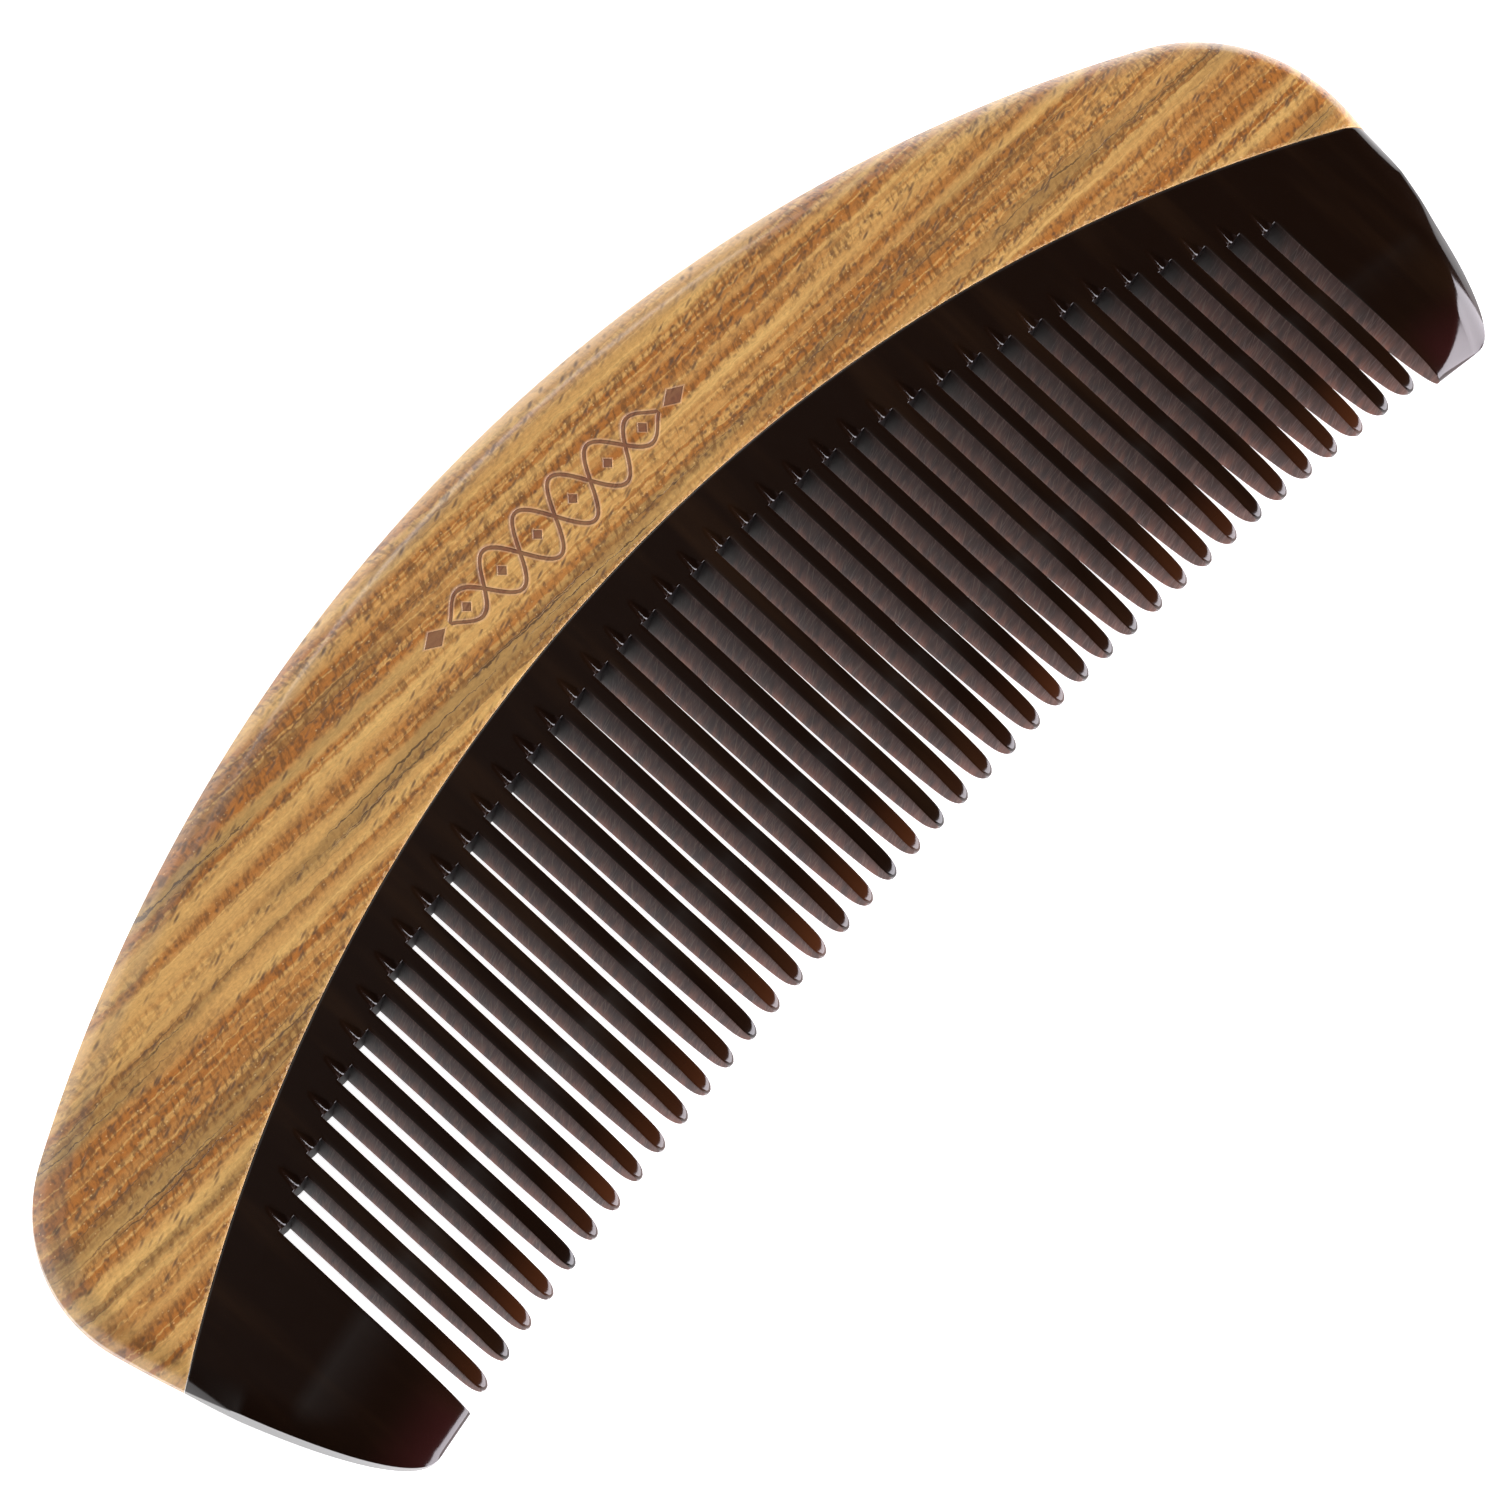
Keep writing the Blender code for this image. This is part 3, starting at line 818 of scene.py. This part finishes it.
def wood_material():
    wood = Shading("green_sandalwood")
    x, y, z = wood.x, wood.y, wood.z
    slow = wood.noise(wood.place((0.012, x), (0.020, y), (0.02, z)), 1.0)
    quick = wood.noise(wood.place((0.08, x), (0.30, y), (0.2, z)), 2.0)
    ragged = wood.noise(wood.place((0.75, x), (1.7, y), (1.0, z)), 3.0, 0.6)
    across = wood.total((1.0, y), (0.045, x), (0.30, z), (3.2, slow), (0.9, quick), (0.75, ragged))
    drift = wood.noise(wood.place((0.006, x), (0.10, across), (0.01, z)), 1.0)
    ring = wood.math("SINE", wood.total((math.tau / 2.7, across), (9.0, drift)))
    narrow = wood.noise(wood.place((0.015, x), (0.80, across), (0.02, z)), 3.0)
    wide = wood.noise(wood.place((0.010, x), (0.16, across), (4.0, 1.0)), 1.0)
    bands = wood.smooth(wood.total((0.30, ring), (1.9, narrow), (1.6, wide)), 1.10, 2.20)
    fibres = wood.noise(wood.place((0.30, x), (7.0, across), (1.5, z)), 3.0, 0.6)
    grain = wood.noise(wood.place((2.2, x), (5.0, y), (3.0, z)), 4.0, 0.65)
    patches = wood.noise(wood.place((0.05, x), (0.10, y), (0.1, z)), 2.0)

    colour = wood.mix(bands, srgb(208, 162, 94), srgb(172, 108, 46))
    lines = wood.noise(wood.place((0.010, x), (0.75, across), (3.0, 1.0)), 1.0)
    lines = wood.smooth(wood.math("ABSOLUTE", wood.math("SUBTRACT", lines, 0.5)), 0.060, 0.0)
    colour = wood.mix(wood.times(lines, 0.60), colour, srgb(226, 184, 110))
    grey = wood.noise(wood.place((0.012, x), (0.24, across), (5.0, 1.0)), 2.0)
    grey = wood.smooth(grey, 0.53, 0.64)
    colour = wood.mix(wood.times(grey, 0.55), colour, srgb(136, 108, 62))
    hairs = wood.noise(wood.place((0.05, x), (4.2, across), (7.0, 1.0)), 2.0)
    hairs = wood.times(wood.smooth(hairs, 0.58, 0.66), wood.math("MULTIPLY_ADD", grey, 0.75, 0.15))
    colour = wood.mix(hairs, colour, srgb(84, 62, 40))

    distance, chance = wood.cells(wood.place((1.30, x), (2.2, y), (1.3, z)))
    dots = wood.times(wood.smooth(distance, 0.55, 0.05), wood.smooth(chance, 0.20, 0.6))
    dots = wood.times(dots, wood.math("MULTIPLY_ADD", bands, 0.85, 0.12))
    colour = wood.mix(wood.times(dots, 0.85), colour, srgb(88, 58, 32))
    distance, chance = wood.cells(wood.place((1.9, x), (2.6, y), (1.9, z)))
    leaning = math.radians(62)
    length = wood.total((math.cos(leaning), x), (math.sin(leaning), y))
    breadth = wood.total((-math.sin(leaning), x), (math.cos(leaning), y), (0.5, z))
    hatch = wood.noise(wood.place((0.9, length), (2.2, breadth), (0.6, z)), 2.0, 0.6)
    hatch = wood.times(wood.smooth(hatch, 0.44, 0.66), wood.math("MULTIPLY_ADD", bands, 0.9, 0.06))
    colour = wood.mix(wood.times(hatch, 0.78), colour, srgb(108, 70, 36))
    specks = wood.times(wood.smooth(distance, 0.26, 0.08), wood.smooth(chance, 0.6, 0.7), bands)
    colour = wood.mix(wood.times(specks, 0.5), colour, srgb(236, 200, 140))

    turn = math.radians(17)
    along = wood.total((math.cos(turn), x), (math.sin(turn), y))
    over = wood.total((-math.sin(turn), x), (math.cos(turn), y), (0.4, z))
    distance, chance = wood.cells(wood.place((0.50, along), (2.3, over), (0.7, z)))
    where = wood.smooth(wood.noise(wood.place((0.03, x), (0.33, across), (2.0, 1.0)), 1.0), 0.40, 0.54)
    dashes = wood.times(wood.smooth(distance, 0.46, 0.08), wood.smooth(chance, 0.20, 0.5), where)
    colour = wood.mix(wood.times(dashes, 0.85), colour, srgb(98, 68, 40))

    shade = wood.total((0.24, fibres), (0.20, patches), (0.70, grain), (1.0, 0.41))
    colour = wood.mix(1.0, colour, wood.place((1.0, shade), (1.0, shade), (1.0, shade)), "MULTIPLY")

    # Painted highlight: the wood is made paler in a ragged band just inside the seam, standing for light
    # caught on its rounded edge.
    from_seam = wood.from_arc(SEAM_CENTRE, SEAM_RADIUS)
    seam_highlight_breakup = wood.noise(wood.place((3.0, x), (3.0, y), (1.0, z)), 2.0)
    edge = wood.math("MULTIPLY_ADD", wood.math("SUBTRACT", seam_highlight_breakup, 0.5), 1.2, from_seam)
    edge = wood.smooth(edge, 0.28, 0.10)
    colour = wood.mix(wood.times(edge, 0.55), colour, srgb(222, 178, 112))

    cut, rim = ornament(wood)
    colour = wood.mix(wood.times(rim, 0.45), colour, srgb(226, 178, 138))
    colour = wood.mix(wood.times(cut, 0.85), colour, srgb(112, 66, 40))

    pits = wood.math("MAXIMUM", dots, dashes)
    roughness = wood.total((1.0, 0.27), (0.16, pits), (0.10, fibres), (0.4, cut))
    height = wood.total(
        (0.012, fibres), (-0.022, pits), (-0.010, hairs), (-0.12, cut), (0.03, rim), (-0.02, edge)
    )
    wood.shader.inputs["Coat Weight"].default_value = 0.35
    wood.shader.inputs["Coat Roughness"].default_value = 0.16
    return wood.finish(colour, roughness, height)


def horn_material():
    horn = Shading("water_buffalo_horn")
    x, y, z = horn.x, horn.y, horn.z
    from_tips = horn.from_arc(TIP_CENTRE, TIP_ARC_RADIUS)
    from_roots = horn.from_arc(ROOT_CENTRE, ROOT_ARC_RADIUS)
    from_first = horn.math("SUBTRACT", x, slot_x(0) * MM)
    number = horn.math("FLOOR", horn.math("DIVIDE", from_first, PITCH * MM))
    tooth = horn.tree.nodes.new("ShaderNodeTexWhiteNoise")
    tooth.noise_dimensions = "1D"
    horn.put(tooth.inputs["W"], number)
    tooth = tooth.outputs["Value"]

    streaks = horn.noise(horn.place((0.30, x), (0.035, y), (0.1, z)), 3.0)
    colour = horn.mix(horn.smooth(streaks, 0.45, 0.80), (0.0080, 0.0033, 0.0016), (0.017, 0.0075, 0.0032))
    from_middle = horn.math("ABSOLUTE", horn.math("SUBTRACT", x, TEETH_CENTRE_X * MM))
    # Painted glow: the guards' lower ends turn red, and each tooth's tip a warm brown of its own strength,
    # for light shining through the thin horn from behind.
    guard = horn.smooth(from_middle, 67.0, 70.5)
    red = horn.times(guard, horn.smooth(from_tips, 6.5, 0.0))
    colour = horn.mix(red, colour, (0.024, 0.0056, 0.005))
    painted_tip_glow = horn.times(horn.smooth(from_tips, 8.0, 0.0), horn.math("POWER", tooth, 1.3))
    painted_tip_glow = horn.times(painted_tip_glow, horn.math("SUBTRACT", 1.0, guard))
    colour = horn.mix(painted_tip_glow, colour, (0.062, 0.018, 0.006))

    inside = horn.smooth(from_middle, 69.9, 69.6)
    flank = horn.times(horn.smooth(horn.math("ABSOLUTE", horn.normal_x), 0.6, 0.85), inside)
    root = horn.times(horn.smooth(horn.math("ABSOLUTE", horn.normal_y), 0.7, 0.9), inside)
    root = horn.times(root, horn.smooth(from_tips, 4.0, 5.0), horn.smooth(from_roots, 0.6, 0.3))
    flank = horn.math("MAXIMUM", flank, root)
    leaning = horn.total((1.0, y), (0.03, z))
    scratches = horn.noise(horn.place((11.0, leaning), (0.14, z), (0.5, x)), 3.0, 0.65)
    leaning = horn.total((1.0, y), (-0.10, z))
    crossed = horn.noise(horn.place((8.0, leaning), (0.18, z), (0.7, x)), 2.0, 0.6)
    marks = horn.noise(horn.place((1.1, y), (0.15, z), (0.9, x)), 2.0)
    # Painted glow: the sawn walls turn warmer and brighter towards the rear face, for light shining through
    # the thin horn there.
    painted_rear_glow = horn.smooth(z, 5.5, 0.0)
    sawn = horn.mix(painted_rear_glow, (0.135, 0.086, 0.077), (0.300, 0.120, 0.080))
    dull = horn.smooth(horn.total((0.75, marks), (0.25, crossed)), 0.66, 0.34)
    sawn = horn.mix(dull, sawn, (0.098, 0.058, 0.051))
    lit = horn.math("MAXIMUM", horn.smooth(scratches, 0.53, 0.66), horn.smooth(crossed, 0.60, 0.68))
    sawn = horn.mix(horn.times(lit, 0.45), sawn, (0.33, 0.235, 0.21))
    # Painted shade: the sawn walls darken towards the roots of the slots, and the end walls of the slots are
    # made nearly black.
    sawn = horn.mix(horn.smooth(from_roots, -2.4, -0.1), sawn, (0.040, 0.024, 0.021))
    sawn = horn.mix(root, sawn, (0.010, 0.006, 0.006))
    colour = horn.mix(flank, colour, sawn)

    polish = horn.noise(horn.place((0.8, x), (0.5, y), (0.8, z)), 3.0)
    roughness = horn.total((1.0, 0.10), (0.06, polish), (0.40, flank))
    horn.put(horn.shader.inputs["Specular IOR Level"], horn.math("MULTIPLY_ADD", flank, -0.40, 0.5))
    height = horn.total(
        (0.006, horn.times(flank, scratches)), (0.006, horn.times(flank, marks)), (0.0025, polish)
    )
    return horn.finish(colour, roughness, height)


def add_piece(name, mesh, node, material):
    piece = bpy.data.objects.new(name, mesh)
    bpy.context.scene.collection.objects.link(piece)
    mesh.materials.append(material)
    mesh.shade_smooth()
    mesh.set_sharp_from_angle(angle=CREASE_ANGLE)
    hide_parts(node)
    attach(piece, "root")
    return piece


add_piece("wooden_back", wood_mesh(), "wood_back", wood_material())
add_piece("horn_teeth", horn_mesh(), "horn_tooth_plate", horn_material())

# ---------------------------------------------------------------- light box and camera

CAMERA_PLACE = (-0.15685, -0.05471, 0.48151)
CAMERA_TURN = (16.837, -7.709, -48.604)
CAMERA_LENS = 132.0


def add_floor():
    mesh = bpy.data.meshes.new("floor")
    half = 2.0
    corners = [(-half, -half, 0), (half, -half, 0), (half, half, 0), (-half, half, 0)]
    mesh.from_pydata(corners, [], [(0, 1, 2, 3)])
    floor = bpy.data.objects.new("floor", mesh)
    floor.location.z = cad_low.z - 0.0002
    bpy.context.scene.collection.objects.link(floor)
    material = bpy.data.materials.new("floor")
    material.use_nodes = True
    shader = material.node_tree.nodes["Principled BSDF"]
    shader.inputs["Base Color"].default_value = (0.9, 0.9, 0.9, 1)
    shader.inputs["Roughness"].default_value = 0.9
    shader.inputs["Emission Color"].default_value = (1, 1, 1, 1)
    shader.inputs["Emission Strength"].default_value = 0.95
    mesh.materials.append(material)


def add_light(name, place, size, energy, colour=(1, 1, 1), target=(0, 0, 0)):
    data = bpy.data.lights.new(name, "AREA")
    data.color = colour
    data.shape = "RECTANGLE"
    data.size, data.size_y = size
    data.energy = energy
    light = bpy.data.objects.new(name, data)
    light.location = place
    light.rotation_euler = (Vector(target) - Vector(place)).to_track_quat("-Z", "Y").to_euler()
    bpy.context.scene.collection.objects.link(light)
    return light


def add_world(strength, towards):
    """A studio that is bright on one side and dark on the other and overhead."""
    world = bpy.data.worlds.new("studio")
    world.use_nodes = True
    nodes, links = world.node_tree.nodes, world.node_tree.links
    background = nodes["Background"]
    background.inputs["Strength"].default_value = strength
    place = nodes.new("ShaderNodeTexCoord")
    facing = nodes.new("ShaderNodeVectorMath")
    facing.operation = "DOT_PRODUCT"
    facing.inputs[1].default_value = Vector(towards).normalized()
    ramp = nodes.new("ShaderNodeValToRGB")
    ramp.color_ramp.interpolation = "EASE"
    ramp.color_ramp.elements[0].position = 0.05
    ramp.color_ramp.elements[0].color = (0.012, 0.012, 0.014, 1)
    ramp.color_ramp.elements[1].position = 0.55
    ramp.color_ramp.elements[1].color = (1, 0.985, 0.98, 1)
    links.new(place.outputs["Generated"], facing.inputs[0])
    links.new(facing.outputs["Value"], ramp.inputs["Fac"])
    links.new(ramp.outputs["Color"], background.inputs["Color"])
    bpy.context.scene.world = world


add_floor()
add_world(1.0, (-0.25, 0.95, 0.20))
add_light("key", (0.3, 0.8, 0.55), (0.5, 0.25), 2)
add_light("front_panel", (0.60, -1.0, 0.33), (1.8, 0.70), 40, (0.95, 0.92, 1.0))

camera_data = bpy.data.cameras.new("camera")
camera_data.lens = CAMERA_LENS
camera_data.sensor_width = 36.0
camera_data.clip_start = 0.01
camera_data.clip_end = 20.0
camera = bpy.data.objects.new("camera", camera_data)
camera.location = CAMERA_PLACE
camera.rotation_euler = [math.radians(a) for a in CAMERA_TURN]
bpy.context.scene.collection.objects.link(camera)
bpy.context.scene.camera = camera
bpy.context.scene.view_settings.view_transform = "Standard"

bpy.context.view_layer.update()
